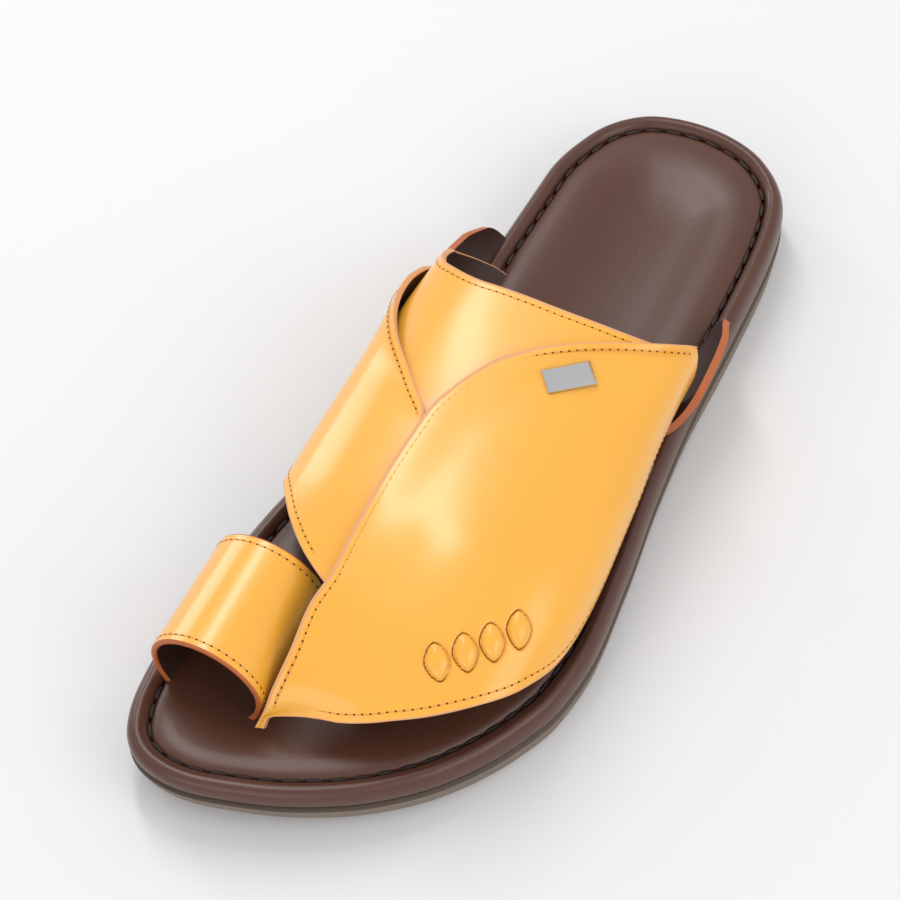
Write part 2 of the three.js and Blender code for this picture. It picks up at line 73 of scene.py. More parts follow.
# Plan of the sole: its two edges by distance from the heel end
OUTLINE = table(("from_heel", "medial", "lateral"), [
    (0, 0, 0), (5, -21, 20.2), (20, -33.3, 33.7), (40, -37.8, 38), (70, -37.8, 40.4), (100, -37, 42.2),
    (130, -38.9, 45.8), (160, -45.6, 50.8), (190, -51, 54.2), (205, -52.5, 52.9), (220, -53.6, 48),
    (240, -54.2, 36.8), (255, -52.4, 22.9), (268, -47.8, 3.3), (275, -41, -14), (278, -29, -29),
])
# Thickness of the sole along its length
SOLE_LAYERS = table(("from_heel", "outsole", "rim", "dish"), [
    (0, 9.5, 22.5, 4), (70, 9, 21.5, 4), (130, 8.2, 20, 2.6), (190, 7, 18, 2.4), (278, 4.6, 13, 2),
])
# Cross sections of the hollow under the straps
SECTIONS = table(("along", "middle", "half", "widest", "rise"), [
    (-114, 3.5, 34.5, 13, 3), (-100, 4, 40, 20, 10.5), (-85, 2.8, 41.8, 23, 14.5), (-76, 2.6, 43.2, 24, 16.5),
    (-46, 2.2, 44.7, 27, 19.5), (-11, 0.5, 43.1, 31, 18.5), (19, -0.7, 40.6, 36, 15.5),
    (39, -0.5, 39.5, 38, 14), (58, 0, 39, 38, 14),
])
# Leaf straps by position along the foot: girth of the inner and the outer edge
# (girth 0 on the crown, 1 at the widest level on the lateral side, -1 on the medial side)
VAMP_LEAF = table(("along", "inner", "outer"), [
    (-111.5, -0.3, -0.26), (-109.5, -0.28, -0.25), (-107, -0.26, -0.12), (-104.5, -0.25, 0.04),
    (-100.8, -0.23, 0.2), (-93.8, -0.21, 0.43), (-83.8, -0.2, 0.68), (-73.8, -0.17, 0.84),
    (-61.8, -0.17, 0.98), (-47, -0.17, 1.05), (-21, -0.15, 1.07), (-10, -0.11, 1.08), (3.2, -0.03, 1.09),
    (10.2, 0.03, 1.11), (18.2, 0.17, 1.16), (25.5, 0.36, 1.24), (31.8, 0.56, 1.32), (35.5, 0.68, 1.32),
    (38.5, 0.77, 1.1), (41, 0.85, 0.88),
])
INNER_LEAF = table(("along", "inner", "outer"), [
    (-78, -0.12, -0.15), (-74.8, -0.1, -0.24), (-69.5, -0.1, -0.37), (-62.2, -0.1, -0.52), (-54, -0.1, -0.68),
    (-46, -0.12, -0.86), (-36, -0.13, -1.02), (-20.5, -0.16, -1.1), (-12.2, -0.27, -1.13),
    (-5.5, -0.38, -1.15), (2.2, -0.52, -1.18), (11, -0.66, -1.22), (22, -0.82, -1.28), (28.5, -0.9, -1.32),
    (42, -1.08, -1.36), (54, -1.28, -1.34),
])
# Instep strap by girth: where its edges lie along the foot
INSTEP_STRAP = table(("girth", "front", "rear"), [
    (-1.62, 33, 58), (-1.45, 30, 57.5), (-1.3, 26, 55), (-1.1, 18, 49.5), (-0.85, 0, 40), (-0.6, -18, 33),
    (-0.25, -26, 29), (0, -28, 29), (0.25, -26, 30), (0.6, -18, 33.4), (0.85, 0, 39), (1, 8, 39),
    (1.1, 12, 38), (1.3, 18, 36.5), (1.62, 22, 36.5),
])
# Side tabs by position along the foot: girth of the top edge and how far it leans out
TAB_EDGE = table(("along", "top", "lean"), [
    (21, 1.5, 0.5), (25, 1.3, 2), (33, 1.18, 2.4), (48, 1.12, 1.4), (57, 1.12, 0), (64, 1.17, -2.4),
    (68, 1.28, -2.8), (71, 1.48, -2.8),
])
TAB_BASE_GIRTH = 1.66
TAB_WALL = 2.2
TAB_LEAN_NONE = 1.45
TAB_LEAN_FULL = 1.1
# Toe loop: its ends along the foot, its middle across, half width, and levels
LOOP = {
    "front": -111, "rear": -72, "middle_front": -32.5, "middle_rear": -34,
    "half": 15.6, "widest": 27, "rise": 13.5, "floor": 10,
}
LOOP_GIRTH = 1.5


def value_of(rows, key, column, at):
    """Smooth value of one column between the rows of a table, without overshoot."""
    k = rows[key]
    c = rows[column]
    at = np.clip(np.asarray(at, float), k[0], k[-1])
    slope = np.diff(c) / np.diff(k)
    both = slope[:-1] * slope[1:]
    total = slope[:-1] + slope[1:]
    inner = np.where(both > 0, 2 * both / np.where(total == 0, 1, total), 0)
    tangent = np.concatenate([slope[:1], inner, slope[-1:]])
    i = np.clip(np.searchsorted(k, at, side="left") - 1, 0, len(k) - 2)
    span = k[i + 1] - k[i]
    u = (at - k[i]) / span
    rise = u * u * (3 - 2 * u)
    bend = span * u * (1 - u) * ((1 - u) * tangent[i] - u * tangent[i + 1])
    return c[i] * (1 - rise) + c[i + 1] * rise + bend


def smooth_step(start, end, value):
    """Share from 0 to 1 as the value goes from start to end, level at both ends."""
    u = np.clip((np.asarray(value, float) - start) / (end - start), 0, 1)
    return u * u * (3 - 2 * u)


# Materials
COAT_ROUGHNESS = 0.17
GRAIN_DEPTH = 0.0004
GRAIN_DETAIL = 4
MOTTLE_SIZE = 35
MOTTLE_DETAIL = 5
MOTTLE_DARK = 0.35
MOTTLE_LIGHT = 0.65


def leather(name, colour, roughness, grain=0.0, grain_size=900.0, coat=0.0, mottle=0.0):
    """A procedural material: the grain is a fine bump, the mottle a cloudy change of colour."""
    material = bpy.data.materials.new(name)
    material.use_nodes = True
    nodes = material.node_tree.nodes
    links = material.node_tree.links
    shader = nodes["Principled BSDF"]
    shader.inputs["Base Color"].default_value = (*colour, 1)
    shader.inputs["Roughness"].default_value = roughness
    shader.inputs["Coat Weight"].default_value = coat
    shader.inputs["Coat Roughness"].default_value = COAT_ROUGHNESS
    if grain or mottle:
        place = nodes.new("ShaderNodeTexCoord")
    if grain:
        noise = nodes.new("ShaderNodeTexNoise")
        noise.inputs["Scale"].default_value = grain_size
        noise.inputs["Detail"].default_value = GRAIN_DETAIL
        bump = nodes.new("ShaderNodeBump")
        bump.inputs["Strength"].default_value = grain
        bump.inputs["Distance"].default_value = GRAIN_DEPTH
        links.new(place.outputs["Object"], noise.inputs["Vector"])
        links.new(noise.outputs["Fac"], bump.inputs["Height"])
        links.new(bump.outputs["Normal"], shader.inputs["Normal"])
    if mottle:
        cloud = nodes.new("ShaderNodeTexNoise")
        cloud.inputs["Scale"].default_value = MOTTLE_SIZE
        cloud.inputs["Detail"].default_value = MOTTLE_DETAIL
        ramp = nodes.new("ShaderNodeValToRGB")
        dark = [c * (1 - mottle) for c in colour]
        light = [min(1, c * (1 + mottle)) for c in colour]
        ramp.color_ramp.elements[0].position = MOTTLE_DARK
        ramp.color_ramp.elements[1].position = MOTTLE_LIGHT
        ramp.color_ramp.elements[0].color = (*dark, 1)
        ramp.color_ramp.elements[1].color = (*light, 1)
        links.new(place.outputs["Object"], cloud.inputs["Vector"])
        links.new(cloud.outputs["Fac"], ramp.inputs["Fac"])
        links.new(ramp.outputs["Color"], shader.inputs["Base Color"])
    return material


YELLOW = leather("yellow_leather", (0.90, 0.425, 0.040), 0.32, grain=0.08, coat=0.5, mottle=0.02)
LINING = leather("brown_lining", (0.038, 0.014, 0.009), 0.55, grain=0.15)
CUT_EDGE = leather("cut_edge", (0.74, 0.36, 0.16), 0.6, grain=0.2)
BURNISHED = leather("burnished_edge", (0.46, 0.12, 0.03), 0.45, grain=0.15)
BED = leather("footbed_leather", (0.090, 0.033, 0.019), 0.36, grain=0.12, grain_size=1300, mottle=0.05)
RIM = leather("rim_leather", (0.088, 0.032, 0.0185), 0.32, grain=0.12, grain_size=1100, mottle=0.05)
RUBBER = leather("outsole_rubber", (0.20, 0.155, 0.120), 0.72, grain=0.3, grain_size=1600)
# Near-black: real dark thread on the footbed seam, and painted shade in the gap groove above the outsole
DARK_THREAD_AND_GAP_SHADE = leather("dark_thread_and_gap_shade", (0.020, 0.008, 0.006), 0.6)
YELLOW_THREAD = leather("yellow_thread", (0.84, 0.36, 0.04), 0.5)
# Dark blobs in the needle holes of the seams: painted shade
HOLE_SHADE = leather("stitch_hole_shade", (0.085, 0.030, 0.006), 0.8)
# Dark line in the slit round each padded window: painted shade
SLIT_SHADE = leather("slit_shade", (0.17, 0.055, 0.008), 0.8)
METAL = leather("bright_metal", (0.62, 0.62, 0.63), 0.14)
METAL.node_tree.nodes["Principled BSDF"].inputs["Metallic"].default_value = 1.0

# Faces meeting at less than these angles, in degrees, are shaded as one
SMOOTH_ANGLE = 40
SHEET_SMOOTH = 50
SOLE_SMOOTH = 60
THREAD_SMOOTH = 80


def add_piece(name, points, faces, materials, indices, node, smooth_angle=SMOOTH_ANGLE):
    """A mesh that rides on the root, from points in millimetres; it may stand for a node of the part."""
    mesh = bpy.data.meshes.new(name)
    mesh.from_pydata((np.asarray(points) * MM).tolist(), [], [list(map(int, f)) for f in faces])
    for material in materials:
        mesh.materials.append(material)
    if indices is not None:
        mesh.polygons.foreach_set("material_index", np.asarray(indices, np.int32))
    mesh.polygons.foreach_set("use_smooth", np.ones(len(mesh.polygons), bool))
    mesh.set_sharp_from_angle(angle=math.radians(smooth_angle))
    mesh.update()
    piece = bpy.data.objects.new(name, mesh)
    bpy.context.scene.collection.objects.link(piece)
    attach(piece, "root")
    if node:
        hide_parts(node)
    return piece


# Sole
OUTLINE["turn"] = np.arccos(1 - 2 * OUTLINE["from_heel"] / SOLE_LENGTH)


def outline_point(turn):
    """Edge of the sole; the turn runs from the heel end by the lateral side to the toe, and back."""
    wrapped = np.mod(turn, 2 * np.pi)
    folded = np.minimum(wrapped, 2 * np.pi - wrapped)
    lateral = value_of(OUTLINE, "turn", "lateral", folded)
    medial = value_of(OUTLINE, "turn", "medial", folded)
    across = np.where(wrapped <= np.pi, lateral, medial)
    return np.stack([across, HEEL_END - SOLE_LENGTH * (1 - np.cos(folded)) / 2], -1)


TURNS = 2 * np.pi * np.arange(RING_POINTS) / RING_POINTS
EDGE = outline_point(TURNS)
AHEAD = outline_point(TURNS + TURN_STEP) - outline_point(TURNS - TURN_STEP)
AHEAD /= np.linalg.norm(AHEAD, axis=1, keepdims=True)
OUTWARD = np.stack([-AHEAD[:, 1], AHEAD[:, 0]], -1)
OUTWARD *= np.sign(OUTWARD[RING_POINTS // 4, 0])
SPINE_FROM_HEEL = np.clip(HEEL_END - EDGE[:, 1], SPINE_HEEL, SPINE_TOE)
SPINE_TURN = np.arccos(1 - 2 * SPINE_FROM_HEEL / SOLE_LENGTH)
SPINE = np.stack([
    (value_of(OUTLINE, "turn", "medial", SPINE_TURN) + value_of(OUTLINE, "turn", "lateral", SPINE_TURN)) / 2,
    HEEL_END - SPINE_FROM_HEEL,
], -1)


def layer(column, y):
    """One column of the sole's thickness at a place along it."""
    return value_of(SOLE_LAYERS, "from_heel", column, HEEL_END - y)


def spring(y):
    """How far the sole bends up toward the toe."""
    return TOE_SPRING * np.maximum(0, (HEEL_END - y - SPRING_START) / (SOLE_LENGTH - SPRING_START)) ** 2


def rim_top(y):
    return spring(y) + layer("rim", y)


def outsole_top(y):
    return spring(y) + layer("outsole", y)


def ground(y):
    """Underside of the sole, raised a little at the waist."""
    from_heel = HEEL_END - y
    rear = smooth_step(WAIST["rear"], WAIST["rear_full"], from_heel)
    front = 1 - smooth_step(WAIST["front_full"], WAIST["front"], from_heel)
    return spring(y) + WAIST_RELIEF * rear * front


def midsole_base(y):
    return outsole_top(y) + GAP


def tray_floor(y):
    return rim_top(y) - TRAY_DEPTH


def ring(inset, share, height):
    """A closed line round the sole: in from its edge, then a share of the way to its spine."""
    at = EDGE - OUTWARD * inset
    at = at + (SPINE - at) * share
    return np.column_stack([at, height(at[:, 1])])


def smooth_profile(keys, steps):
    """Points of a smooth curve through key points (inset, share, level), with extra steps between."""
    keys = np.array(keys, float)
    padded = np.vstack([2 * keys[0] - keys[1], keys, 2 * keys[-1] - keys[-2]])
    out = [keys[0]]
    for i in range(len(keys) - 1):
        p0, p1, p2, p3 = padded[i:i + 4]
        for t in np.arange(1, steps + 1) / steps:
            out.append(0.5 * (2 * p1 + (p2 - p0) * t + (2 * p0 - 5 * p1 + 4 * p2 - p3) * t ** 2
                              + (3 * p1 - p0 - 3 * p2 + p3) * t ** 3))
    return np.array(out)


def ring_piece(name, rings, materials, ring_materials, node, smooth_angle=SMOOTH_ANGLE):
    """A closed body of rings, from its underside round its edge to its top."""
    points = np.vstack(rings)
    faces = []
    indices = []
    following = np.roll(np.arange(RING_POINTS), -1)
    for r in range(len(rings) - 1):
        a = r * RING_POINTS + np.arange(RING_POINTS)
        b = r * RING_POINTS + following
        faces.append(np.column_stack([a, b, b + RING_POINTS, a + RING_POINTS]))
        indices += [ring_materials[r]] * RING_POINTS
    start = np.arange(RING_POINTS // 2)
    pair = np.mod(RING_POINTS - start, RING_POINTS)
    next_pair = np.mod(RING_POINTS - start - 1, RING_POINTS)
    top = (len(rings) - 1) * RING_POINTS
    caps = [np.column_stack([start + 1, start, pair, next_pair]),
            np.column_stack([top + start, top + start + 1, top + next_pair, top + pair])]
    flat = [f for block in faces for f in block]
    for cap, index in zip(caps, (ring_materials[0], ring_materials[-1])):
        for corners in cap:
            flat.append(list(dict.fromkeys(corners.tolist())))
            indices.append(index)
    return add_piece(name, points, flat, materials, indices, node, smooth_angle)


# How far in the flat faces of the sole begin, and how near the spine they end
FLAT_INSET = 8
TRAY_INSET = 12
NEAR_SPINE = 0.97
PROFILE_STEPS = 4

# Outsole: underside as inset and share, lower edge as inset and height, then the wall up to the top edge
UNDERSIDE = ((FLAT_INSET, NEAR_SPINE), (FLAT_INSET, 0.5), (FLAT_INSET, 0), (2.2, 0))
WALL_INSET = 1.2
WALL_FOOT = 1.0
LOWER_EDGE = ((1.5, 0.35), (WALL_INSET, WALL_FOOT))
WALL_SHARES = (0.25, 0.5, 0.75, 0.93)
TOP_EDGE_INSET = 0.25

# Midsole: the groove above the outsole, coloured near-black as painted shade in the gap, and the tray for the
# footbed
GROOVE_INSET = 1.7
GROOVE_HEIGHT = 1.9
SHADED_GROOVE_RINGS = 3
TRAY_SLOPE = 0.1

# Footbed: inset of its edge and of its shoulder, drop of its shoulder below the rim, and scale of its dish
BED_INSET = 6.35
BED_SHOULDER = 12.2
BED_DROP = 0.6
DISH_SCALE = 3.0


def above_ground(height):
    return lambda y: ground(y) + height


def outsole_wall(share):
    """Level on the outsole's wall, a share of the way from its foot to its top."""
    return lambda y: ground(y) + WALL_FOOT + share * (outsole_top(y) - ground(y) - WALL_FOOT)


def above_base(share):
    """Level on the midsole, a share of the way from its base to the top of the rim."""
    return lambda y: midsole_base(y) + share * (rim_top(y) - midsole_base(y))


def below_rim(drop):
    return lambda y: rim_top(y) - drop


def bed_level(level):
    """What lies lower than the footbed's shoulder is its dish, deeper at the heel."""
    return lambda y: rim_top(y) - BED_DROP - (level - BED_DROP) / DISH_SCALE * layer("dish", y)


outsole_rings = [ring(inset, share, ground) for inset, share in UNDERSIDE]
outsole_rings += [ring(inset, 0, above_ground(height)) for inset, height in LOWER_EDGE]
outsole_rings += [ring(WALL_INSET * (1 - share), 0, outsole_wall(share)) for share in WALL_SHARES]
outsole_rings.append(ring(TOP_EDGE_INSET, 0, outsole_top))
outsole_rings.append(ring(FLAT_INSET, 0, outsole_top))
outsole_rings.append(ring(FLAT_INSET, NEAR_SPINE, outsole_top))
ring_piece("outsole_body", outsole_rings, [RUBBER], [0] * len(outsole_rings), "outsole")

rim_profile = smooth_profile([
    (0.7, 0, 0.22), (0.15, 0, 0.35), (0, 0, 0.5), (0.15, 0, 0.68), (0.7, 0, 0.84), (1.8, 0, 0.96),
    (3.2, 0, 1.0), (4.6, 0, 0.95), (5.6, 0, 0.84), (6.0, 0, 0.70),
], PROFILE_STEPS)
midsole_rings = [
    ring(FLAT_INSET, NEAR_SPINE, midsole_base),
    ring(FLAT_INSET, 0, midsole_base),
    ring(GROOVE_INSET, 0, midsole_base),
    ring(GROOVE_INSET, 0, lambda y: midsole_base(y) + GROOVE_HEIGHT),
]
midsole_rings += [ring(inset, share, above_base(level)) for inset, share, level in rim_profile]
midsole_rings.append(ring(BEAD_WIDTH + TRAY_SLOPE, 0, tray_floor))
midsole_rings.append(ring(TRAY_INSET, NEAR_SPINE, tray_floor))
# The groove's rings take the near-black colour: painted shade in the gap between the outsole and the rim
midsole_materials = [1] * SHADED_GROOVE_RINGS + [0] * (len(midsole_rings) - SHADED_GROOVE_RINGS)
ring_piece("midsole_wrap", midsole_rings, [RIM, DARK_THREAD_AND_GAP_SHADE], midsole_materials,
           "midsole", SOLE_SMOOTH)

bed_profile = smooth_profile([
    (6.35, 0, 3.2), (6.7, 0, 2.3), (7.6, 0, 1.5), (9.5, 0, 0.9), (12.3, 0, 0.6),
    (12.3, 0.12, 0.75), (12.3, 0.25, 1.25), (12.3, 0.4, 2.1), (12.3, 0.55, 2.85), (12.3, 0.7, 3.3),
    (12.3, 0.85, 3.52), (12.3, 1.0, 3.6),
], PROFILE_STEPS)
bed_rings = [
    ring(TRAY_INSET, NEAR_SPINE, lambda y: tray_floor(y) + GAP),
    ring(BED_INSET, 0, lambda y: tray_floor(y) + GAP),
]
for inset, share, level in bed_profile:
    if share <= 0 and inset < BED_SHOULDER:
        bed_rings.append(ring(inset, 0, below_rim(level)))
    else:
        bed_rings.append(ring(inset, share, bed_level(max(level, BED_DROP))))
footbed = ring_piece("footbed_pad", bed_rings, [BED], [0] * len(bed_rings),
                     "footbed", SOLE_SMOOTH)


# Straps
def hollow_point(girth, along):
    """A point on the egg-shaped hollow that the straps follow; the girth turns round its section."""
    girth, along = np.broadcast_arrays(np.asarray(girth, float), np.asarray(along, float))
    columns = ("middle", "half", "widest", "rise")
    middle, half, widest, rise = (value_of(SECTIONS, "along", column, along) for column in columns)
    angle = girth * np.pi / 2
    power = 2 / SECTION_POWER
    sine = np.sin(angle)
    cosine = np.cos(angle)
    across = half * np.sign(sine) * np.abs(sine) ** power
    reach = np.where(cosine > 0, rise, STRAP_FLOOR - widest)
    return np.stack([middle + across, along, widest + reach * np.abs(cosine) ** power], -1)


def loop_point(girth, along):
    """A point on the inside of the toe loop."""
    girth, along = np.broadcast_arrays(np.asarray(girth, float), np.asarray(along, float))
    share = (along - LOOP["front"]) / (LOOP["rear"] - LOOP["front"])
    angle = girth * np.pi / 2
    drop = np.where(np.cos(angle) > 0, LOOP["rise"], LOOP["widest"] - LOOP["floor"])
    middle = LOOP["middle_front"] + (LOOP["middle_rear"] - LOOP["middle_front"]) * share
    return np.stack([middle + LOOP["half"] * np.sin(angle), along, LOOP["widest"] + drop * np.cos(angle)], -1)


def tangents(surface, girth, along):
    """The two directions in a surface: round the girth and along the foot."""
    round_step = surface(girth + GIRTH_STEP, along) - surface(girth - GIRTH_STEP, along)
    ahead_step = surface(girth, along + ALONG_STEP) - surface(girth, along - ALONG_STEP)
    return round_step / (2 * GIRTH_STEP), ahead_step / (2 * ALONG_STEP)


def normals(surface, girth, along):
    round_way, ahead = tangents(surface, girth, along)
    normal = np.cross(round_way, ahead)
    return normal / np.linalg.norm(normal, axis=-1, keepdims=True)


def lifted(surface, girth, along, lift):
    """Points standing off a surface."""
    return surface(girth, along) + normals(surface, girth, along) * np.asarray(lift)[..., None]


# Cut edges: their rounding, the band of cut leather beside them, and the length of one unit of girth
EDGE_ROUND = 0.6
EDGE_SEGMENTS = 3
EDGE_ANGLE = 60
RIM_BAND = 0.9
RIM_LIMIT = 0.2
LEAST_WIDTH = 0.1
GIRTH_LENGTH = 62.0

# Places of the three materials of a sheet
OUTSIDE = 0
INSIDE = 1
CUT = 2


def sheet_piece(name, surface, girth, along, lift, wall, edge_material, node, slot,
                raise_outer=None, rim=False):
    """A sheet of leather on a grid: yellow outside, lined inside, with rounded cut edges."""
    rows, columns = girth.shape
    outer_lift = lift + wall + (0 if raise_outer is None else raise_outer)
    inside = lifted(surface, girth, along, lift).reshape(-1, 3)
    outside = lifted(surface, girth, along, outer_lift).reshape(-1, 3)
    count = rows * columns
    number = np.arange(count).reshape(rows, columns)
    a, b, c, d = (q.ravel() for q in (number[:-1, :-1], number[:-1, 1:], number[1:, 1:], number[1:, :-1]))
    faces = [np.column_stack([a, d, c, b]), np.column_stack([a, b, c, d]) + count]
    border = np.concatenate([number[0, :-1], number[:-1, -1], number[-1, :0:-1], number[:0:-1, 0]])
    following = np.roll(border, -1)
    faces.append(np.column_stack([border, border + count, following + count, following])[:, ::-1])
    sizes = [len(block) for block in faces]
    indices = np.repeat([INSIDE, OUTSIDE, CUT], sizes)
    if rim:
        outside_faces = indices[sizes[0]:sizes[0] + sizes[1]].reshape(rows - 1, columns - 1)
        outside_faces[:, [0, -1]] = CUT
    points = np.vstack([inside, outside])
    materials = [YELLOW, LINING, edge_material]
    piece = add_piece(name, points, np.vstack(faces), materials, indices, node, SHEET_SMOOTH)
    bevel = piece.modifiers.new("edge", "BEVEL")
    bevel.width = EDGE_ROUND * MM
    bevel.segments = EDGE_SEGMENTS
    bevel.material = CUT
    bevel.limit_method = "ANGLE"
    bevel.angle_limit = math.radians(EDGE_ANGLE)
    return piece


def with_rims(width, shares):
    """Shares across a strap for each width in millimetres, with a narrow first and last step."""
    rim = np.minimum(RIM_BAND / np.maximum(width, LEAST_WIDTH), RIM_LIMIT)
    return np.hstack([np.zeros_like(rim), rim + (1 - 2 * rim) * shares[None, :], np.ones_like(rim)])


def leaf_grid(rows, places, shares, lift):
    """Girth, place along the foot and lift of a leaf at each place and share across it."""
    along = places[:, None]
    inner = value_of(rows, "along", "inner", along)
    outer = value_of(rows, "along", "outer", along)
    v = with_rims(np.abs(outer - inner) * GIRTH_LENGTH, shares)
    girth = inner + (outer - inner) * v
    along = np.broadcast_to(along, girth.shape).copy()
    return girth, along, lift(along, v)


# Where the vamp leaf rides up over the inner leaf: along the foot, and across the leaf
OVERLAP = {"front": -22, "rear": 14, "near": 0.06, "far": 0.8}

# How far the leaves' upper edges curl up, over what share of the leaf and from where along the foot
EDGE_CURL = 1.0
REAR_CURL = 0.4
CURL_SHARE = 0.14
VAMP_CURL = {"none": -108, "full": -96}
INNER_CURL = {"none": -24, "full": -14}

# How far the inner leaf's rear edge stands off the instep strap, and where
REAR_GAPE = 2.2
GAPE = {"front": -12, "front_full": 12, "rear_full": 26, "rear": 48, "share": 0.6}


def over_inner_leaf(along, v):
    """Share of the inner leaf's thickness by which the vamp leaf is raised."""
    in_front = 1 - smooth_step(OVERLAP["front"], OVERLAP["rear"], along)
    across = 1 - smooth_step(OVERLAP["near"], OVERLAP["far"], v)
    return in_front * across


def vamp_lift(along, v):
    """The vamp leaf lies over the inner leaf, and its upper edge curls a little off what is under it."""
    along_share = smooth_step(VAMP_CURL["none"], VAMP_CURL["full"], along)
    curl = EDGE_CURL * (1 - smooth_step(0, CURL_SHARE, v)) * along_share
    return LAYER_STEP * (1 + over_inner_leaf(along, v)) + curl


def inner_lift(along, v):
    """The rear edge of the inner leaf gapes off the instep strap on the medial side."""
    opening = smooth_step(GAPE["front"], GAPE["front_full"], along)
    closing = 1 - smooth_step(GAPE["rear_full"], GAPE["rear"], along)
    gape = REAR_GAPE * opening * closing * (1 - smooth_step(0, GAPE["share"], v))
    along_share = smooth_step(INNER_CURL["none"], INNER_CURL["full"], along)
    curl = REAR_CURL * (1 - smooth_step(0, CURL_SHARE, v)) * along_share
    return LAYER_STEP + gape + curl


# Four padded windows in the vamp leaf: centres, half sizes, how far they stand up, and their corners
PUFF_CENTRES = ((0.30, -83.0), (0.39, -77.5), (0.48, -71.5), (0.57, -64.5))
PUFF_LONG = 5.2
PUFF_SHORT = 3.4
PUFF_HEIGHT = 1.8
PUFF_FULLNESS = 0.55
PUFF_CORNER = 1.55
PUFF_TURN = math.radians(-53)

# The slit round each window: depth, size against the window, spread, and the dark line of painted shade in
# it, wider on one side
PUFF_SLIT = 0.5
SLIT_PLACE = 1.03
SLIT_SPREAD = 0.07
SLIT_RADIUS = 0.24
SLIT_SUNK = 0.32
SLIT_SHADE_SIDE = 0.6
SLIT_THIN = 0.1
SLIT_POINTS = 72
TUBE_SIDES = 6


def puff_frames():
    """Centre and the two in-surface directions of each padded window, on the vamp leaf's outside."""
    frames = []
    for girth, along in PUFF_CENTRES:
        lift = LAYER_STEP + LEATHER
        place = lifted(hollow_point, np.array(girth), np.array(along), np.array(lift))
        normal = normals(hollow_point, np.array(girth), np.array(along))
        long_way = np.array((math.cos(PUFF_TURN), math.sin(PUFF_TURN), 0))
        long_way -= normal * np.dot(long_way, normal)
        long_way /= np.linalg.norm(long_way)
        frames.append((place, long_way, np.cross(normal, long_way), normal))
    return frames


def puff_height(points):
    """How far each point of the leaf's outside is raised by a padded window or sunk by the slit round it."""
    height = np.zeros(points.shape[:-1])
    for place, long_way, short_way, _ in puff_frames():
        away = points - place
        p = np.abs(away @ long_way) / PUFF_LONG
        q = np.abs(away @ short_way) / PUFF_SHORT
        r = (p ** PUFF_CORNER + q ** PUFF_CORNER) ** (1 / PUFF_CORNER)
        dome = PUFF_HEIGHT * np.clip(1 - r * r, 0, 1) ** PUFF_FULLNESS
        slit = -PUFF_SLIT * np.exp(-((r - SLIT_PLACE) / SLIT_SPREAD) ** 2)
        height = np.where(r < 1, dome, height) + slit
    return height


def denser(start, end, low, high, coarse, fine):
    """Places from start to end, closer together between low and high."""
    before = np.arange(start, low, coarse)
    middle = np.arange(low, high, fine)
    after = np.linspace(high, end, max(2, int((end - high) / coarse)))
    return np.concatenate([before, middle, after])


# Points along and across each sheet
INNER_POINTS = (180, 70)
INSTEP_POINTS = (220, 60)
LOOP_POINTS = (120, 50)
TAB_POINTS = (90, 40)

vamp_first, vamp_last = VAMP_LEAF["along"][[0, -1]]
vamp_rows = denser(vamp_first, vamp_last, low=-92, high=-56, coarse=0.75, fine=0.36)
vamp_columns = denser(0, 1, low=0.42, high=0.86, coarse=0.0125, fine=0.0068)
vamp_grid = leaf_grid(VAMP_LEAF, vamp_rows, vamp_columns, vamp_lift)
inner_rows = np.linspace(*INNER_LEAF["along"][[0, -1]], INNER_POINTS[0])
inner_grid = leaf_grid(INNER_LEAF, inner_rows, np.linspace(0, 1, INNER_POINTS[1]), inner_lift)

reach = INSTEP_STRAP["girth"][-1]
strap_girth = np.linspace(-reach, reach, INSTEP_POINTS[0])[:, None]
strap_front = value_of(INSTEP_STRAP, "girth", "front", strap_girth)
strap_rear = value_of(INSTEP_STRAP, "girth", "rear", strap_girth)
strap_share = with_rims(strap_rear - strap_front, np.linspace(0, 1, INSTEP_POINTS[1]))
strap_along = strap_front + (strap_rear - strap_front) * strap_share
strap_girths = np.broadcast_to(strap_girth, strap_along.shape)

vamp_outside = lifted(hollow_point, vamp_grid[0], vamp_grid[1], vamp_grid[2] + LEATHER)
sheet_piece("vamp_leaf", hollow_point, *vamp_grid, LEATHER, CUT_EDGE, "upper", "strap_leather",
            puff_height(vamp_outside), rim=True)
sheet_piece("inner_leaf", hollow_point, *inner_grid, LEATHER, CUT_EDGE, "upper", "strap_leather", rim=True)
sheet_piece("instep_strap", hollow_point, strap_girths, strap_along, np.zeros(strap_along.shape), LEATHER,
            CUT_EDGE, "upper", "strap_leather", rim=True)

loop_rows = np.linspace(-LOOP_GIRTH, LOOP_GIRTH, LOOP_POINTS[0])
loop_columns = np.linspace(LOOP["front"], LOOP["rear"], LOOP_POINTS[1])
loop_girth, loop_along = np.meshgrid(loop_rows, loop_columns, indexing="ij")
sheet_piece("toe_loop_strap", loop_point, loop_girth, loop_along, np.zeros(loop_girth.shape), LEATHER,
            BURNISHED, "toe_loop", "strap_leather")

for side, name in ((1, "tab_lateral"), (-1, "tab_medial")):
    tab_along = np.linspace(*TAB_EDGE["along"][[0, -1]], TAB_POINTS[0])[:, None]
    tab_top = value_of(TAB_EDGE, "along", "top", tab_along)
    tab_v = np.linspace(0, 1, TAB_POINTS[1])[None, :]
    tab_girth = TAB_BASE_GIRTH + (tab_top - TAB_BASE_GIRTH) * tab_v
    tab_lean = value_of(TAB_EDGE, "along", "lean", tab_along)
    tab_lift = LAYER_STEP + LEATHER + GAP + tab_lean * smooth_step(TAB_LEAN_NONE, TAB_LEAN_FULL, tab_girth)
    tab_places = np.broadcast_to(tab_along, tab_girth.shape)
    sheet_piece(name + "_leather", hollow_point, side * tab_girth, tab_places, tab_lift, TAB_WALL,
                BURNISHED, name, "strap_leather")


